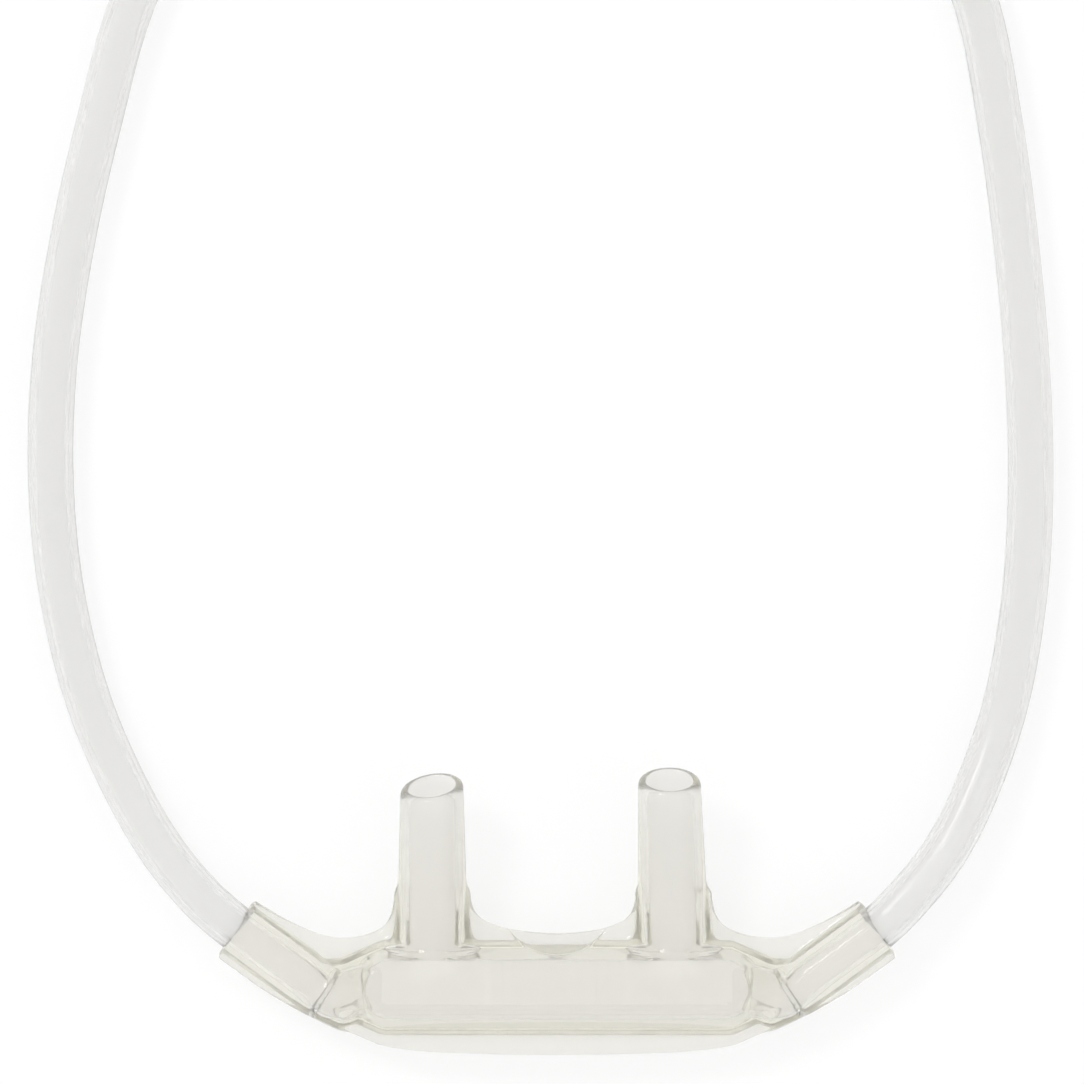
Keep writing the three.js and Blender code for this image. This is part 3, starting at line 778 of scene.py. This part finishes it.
def nosepiece_distance(x, y, z, flange):
    """The nosepiece: bar, flange, sleeves and prongs, less the air chamber and the bores."""
    ax = np.abs(x)
    dz = z - MID_HEIGHT
    sleeve_r, sleeve_in = sleeve_place(x, y, z)
    prong_r, prong_s, prong_side = prong_place(x, y, z)
    plate = smooth_max(flange, np.abs(dz) - LOOK_FLANGE_THICKNESS / 2, FLANGE_EDGE)
    sleeve = sleeve_distance(sleeve_r, sleeve_in, flange, dz)
    prong = prong_distance(x, prong_r, prong_s, prong_side)
    solid = smooth_min(bar_distance(ax, y - BODY_CENTRE_Y, dz), sleeve, SLEEVE_BLEND)
    solid = smooth_min(solid, plate, FLANGE_BLEND)
    solid = smooth_min(solid, prong, PRONG_BLEND)
    solid = smooth_max(solid, -septum_cut(x, y, dz), SEPTUM_EDGE)
    hollow = hollow_distance(ax, y, dz, sleeve_r, sleeve_in, prong_r, prong_s, prong_side)
    return np.maximum(smooth_max(solid, -hollow, HOLLOW_EDGE), -z)


def net_faces(inside, number):
    """A four-sided face round each grid edge that crosses the surface, between the numbered cells."""
    faces = []
    for axis in range(3):
        ahead = [slice(None)] * 3
        behind = [slice(None)] * 3
        ahead[axis] = slice(1, None)
        behind[axis] = slice(None, -1)
        start = inside[tuple(behind)]
        end = inside[tuple(ahead)]
        u = (axis + 1) % 3
        v = (axis + 2) % 3
        for crossing, turned in (((start & ~end), False), ((~start & end), True)):
            edges = np.argwhere(crossing)
            keep = (edges[:, u] > 0) & (edges[:, v] > 0)
            keep &= (edges[:, u] < number.shape[u]) & (edges[:, v] < number.shape[v])
            edges = edges[keep]
            corners = []
            for du, dv in ((-1, -1), (0, -1), (0, 0), (-1, 0)):
                moved = edges.copy()
                moved[:, u] += du
                moved[:, v] += dv
                corners.append(number[tuple(moved.T)])
            faces.append(np.stack(corners[::-1] if turned else corners, axis=1))
    return np.concatenate(faces)


def slope_of(distance, x, y, z):
    """How the distance grows along each axis, measured a small nudge to both sides."""
    return np.stack([
        distance(x + NUDGE, y, z) - distance(x - NUDGE, y, z),
        distance(x, y + NUDGE, z) - distance(x, y - NUDGE, z),
        distance(x, y, z + NUDGE) - distance(x, y, z - NUDGE),
    ], axis=1) / (2 * NUDGE)


def move_to_surface(distance, verts, cell):
    """The vertices moved to where the distance is zero, and which way the surface faces at each."""
    for _ in range(MOVES):
        x, y, z = verts.T
        slope = slope_of(distance, x, y, z)
        steepness = np.maximum((slope ** 2).sum(axis=1), LEAST_STEEPNESS)
        move = -(distance(x, y, z) / steepness)[:, None] * slope
        verts = verts + np.clip(move, -LARGEST_MOVE * cell, LARGEST_MOVE * cell)
    return verts, slope / np.maximum(np.linalg.norm(slope, axis=1), LEAST_SLOPE)[:, None]


def net_mesh(distance, low, high, cell):
    """A surface-net mesh of where a distance function is zero, with its vertices moved on to the surface."""
    axes = [np.arange(low[i], high[i] + cell, cell) for i in range(3)]
    inside = distance(*np.meshgrid(*axes, indexing="ij")) < 0
    corner_count = np.zeros(tuple(n - 1 for n in inside.shape), dtype=np.int8)
    x_count, y_count, z_count = corner_count.shape
    for dx in (0, 1):
        for dy in (0, 1):
            for dz in (0, 1):
                corner_count += inside[dx:x_count + dx, dy:y_count + dy, dz:z_count + dz]
    cells = np.argwhere((corner_count > 0) & (corner_count < 8))
    number = np.full(corner_count.shape, -1, dtype=np.int64)
    number[tuple(cells.T)] = np.arange(len(cells))
    verts, normals = move_to_surface(distance, np.array(low) + (cells + 0.5) * cell, cell)
    return verts, net_faces(inside, number), normals


def nosepiece_piece():
    """The moulding as a fine closed mesh whose shading follows the true surface."""
    cell = GRID_CELL

    def distance(x, y, z):
        # On the grid, one level's distance from the outline serves all levels
        if x.ndim == 3:
            flat = outline_distance(FLANGE, x[:, :, 0], y[:, :, 0])
            flange = np.broadcast_to(flat[:, :, None], x.shape)
        else:
            flange = outline_distance(FLANGE, x, y)
        return nosepiece_distance(x, y, z, flange)

    verts, faces, normals = net_mesh(distance, GRID_LOW, GRID_HIGH, cell)
    piece = mesh_piece("nosepiece_moulding", verts, faces)
    piece.data.normals_split_custom_set_from_vertices(normals.tolist())
    return piece


# Materials


def new_material(name):
    """A material with its nodes, links and shader."""
    material = bpy.data.materials.new(name)
    material.use_nodes = True
    nodes = material.node_tree.nodes
    return material, nodes, material.node_tree.links, nodes["Principled BSDF"]


def add_bump(nodes, links, shader, scale, strength, height):
    """Unevenness of the surface, from noise that goes with the object."""
    place = nodes.new("ShaderNodeTexCoord")
    noise = nodes.new("ShaderNodeTexNoise")
    noise.inputs["Scale"].default_value = scale
    noise.inputs["Detail"].default_value = WAVE_DETAIL
    bump = nodes.new("ShaderNodeBump")
    bump.inputs["Strength"].default_value = strength
    bump.inputs["Distance"].default_value = height
    links.new(place.outputs["Object"], noise.inputs["Vector"])
    links.new(noise.outputs["Fac"], bump.inputs["Height"])
    links.new(bump.outputs["Normal"], shader.inputs["Normal"])
    return place, noise, bump


def clear_plastic(name, colour, clearness, roughness, ior, tint, density, waves):
    """Clear plastic, a little milky, whose thick places take a tint, with faint waves in its surface."""
    material, nodes, links, shader = new_material(name)
    shader.inputs["Base Color"].default_value = (*colour, 1)
    shader.inputs["Roughness"].default_value = roughness
    shader.inputs["IOR"].default_value = ior
    shader.inputs["Transmission Weight"].default_value = clearness
    bump_nodes = add_bump(nodes, links, shader, *waves, WAVE_HEIGHT)
    absorb = nodes.new("ShaderNodeVolumeAbsorption")
    absorb.inputs["Color"].default_value = (*tint, 1)
    absorb.inputs["Density"].default_value = density
    links.new(absorb.outputs["Volume"], nodes["Material Output"].inputs["Volume"])
    return material, bump_nodes


def soft_pvc():
    """The moulded pieces: glossy soft plastic, faintly yellow where it is thick."""
    material, _ = clear_plastic(
        "soft_clear_pvc",
        PVC_COLOUR,
        PVC_CLEARNESS,
        PVC_ROUGHNESS,
        PVC_INDEX,
        PVC_TINT,
        PVC_TINT_DENSITY,
        PVC_WAVES,
    )
    return material


def tubing():
    """The drawn tubes, with faint lines along them from their map."""
    material, (place, noise, bump) = clear_plastic(
        "clear_tubing",
        TUBING_COLOUR,
        TUBING_CLEARNESS,
        TUBING_ROUGHNESS,
        TUBING_INDEX,
        TUBING_TINT,
        TUBING_TINT_DENSITY,
        TUBING_WAVES,
    )
    nodes = material.node_tree.nodes
    links = material.node_tree.links
    stretch = nodes.new("ShaderNodeMapping")
    stretch.inputs["Scale"].default_value = STREAK_STRETCH
    links.new(place.outputs["UV"], stretch.inputs["Vector"])
    links.new(stretch.outputs["Vector"], noise.inputs["Vector"])
    noise.inputs["Scale"].default_value = 1.0
    noise.inputs["Detail"].default_value = STREAK_DETAIL
    bump.inputs["Strength"].default_value = STREAK_STRENGTH
    return material


def rigid_clear():
    """The adjuster: hard, clear and polished."""
    material, _ = clear_plastic(
        "rigid_clear",
        RIGID_COLOUR,
        RIGID_CLEARNESS,
        RIGID_ROUGHNESS,
        RIGID_INDEX,
        RIGID_TINT,
        RIGID_TINT_DENSITY,
        RIGID_WAVES,
    )
    return material


def tie_band():
    """The bands round the coil: matt and white, with a fine grain."""
    material, nodes, links, shader = new_material("tie_band")
    shader.inputs["Base Color"].default_value = (*BAND_COLOUR, 1)
    shader.inputs["Roughness"].default_value = BAND_ROUGHNESS
    add_bump(nodes, links, shader, BAND_GRAIN_SCALE, BAND_GRAIN_STRENGTH, BAND_GRAIN_HEIGHT)
    return material


SOFT_PVC = soft_pvc()
TUBING = tubing()
RIGID_CLEAR = rigid_clear()
BAND = tie_band()


# Pieces


def paint(piece, material):
    piece.data.materials.clear()
    piece.data.materials.append(material)


def dress(piece, material, nodes=(), body="cannula"):
    """Gives a piece its material and its body, in place of CAD nodes."""
    paint(piece, material)
    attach(piece, body)
    if nodes:
        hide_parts(*nodes)


def add_tubes():
    """The two head tubes and the supply tube, each a hollow tube along its route."""
    y_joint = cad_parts["y_joint"]
    for name, side, route, node, on_it in (
        ("head_tubing_left", -1, LEFT_ROUTE, "head_tube_left", [y_joint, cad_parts["tube_slide"]]),
        ("head_tubing_right", 1, RIGHT_ROUTE, "head_tube_right", [y_joint]),
    ):
        path = head_tube_path(side, route)
        piece = tube_piece(name, path, HEAD_TUBE_DIAMETER / 2, HEAD_TUBE_BORE / 2, HEAD_TUBE_SIDES)
        dress(piece, TUBING, [node])
    supply = supply_path()
    piece = tube_piece("supply_tubing", supply, SUPPLY_DIAMETER / 2, SUPPLY_BORE / 2, SUPPLY_SIDES)
    dress(piece, TUBING, ["supply_tube_lead", "supply_coil", "supply_tube_tail"])


add_tubes()

dress(nosepiece_piece(), SOFT_PVC, ["nosepiece"])

for node in ("y_joint", "supply_connector"):
    paint(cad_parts[node], SOFT_PVC)
paint(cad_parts["tube_slide"], RIGID_CLEAR)
for node in ("coil_tie_1", "coil_tie_2"):
    paint(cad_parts[node], BAND)

# Floor, world and lights


def add_floor():
    """A plain pale floor that glows a little, so that shadows stay faint."""
    bpy.ops.mesh.primitive_plane_add(size=FLOOR_SIDE, location=FLOOR_MIDDLE)
    floor = bpy.context.active_object
    floor.name = "floor"
    material, nodes, links, shader = new_material("pale_floor")
    shader.inputs["Base Color"].default_value = (FLOOR_COLOUR, FLOOR_COLOUR, FLOOR_COLOUR, 1)
    shader.inputs["Emission Color"].default_value = (1, 1, 1, 1)
    shader.inputs["Emission Strength"].default_value = FLOOR_GLOW
    shader.inputs["Roughness"].default_value = FLOOR_ROUGHNESS
    shader.inputs["Specular IOR Level"].default_value = FLOOR_SHINE
    floor.data.materials.append(material)


def add_world():
    """Even white light from all round."""
    world = bpy.data.worlds.new("studio")
    bpy.context.scene.world = world
    world.use_nodes = True
    background = world.node_tree.nodes["Background"]
    background.inputs["Color"].default_value = (1, 1, 1, 1)
    background.inputs["Strength"].default_value = WORLD_LIGHT


def add_area(name, place, size, power):
    """A square light that faces the nosepiece."""
    data = bpy.data.lights.new(name, "AREA")
    data.shape = "SQUARE"
    data.size = size
    data.energy = power
    light = new_object(name, data)
    light.location = place
    direction = Vector(LIGHT_AIM) - Vector(place)
    light.rotation_euler = direction.to_track_quat("-Z", "Y").to_euler()


add_floor()
add_world()
add_area("key", KEY_PLACE, KEY_SIZE, KEY_POWER)
add_area("fill", FILL_PLACE, FILL_SIZE, FILL_POWER)
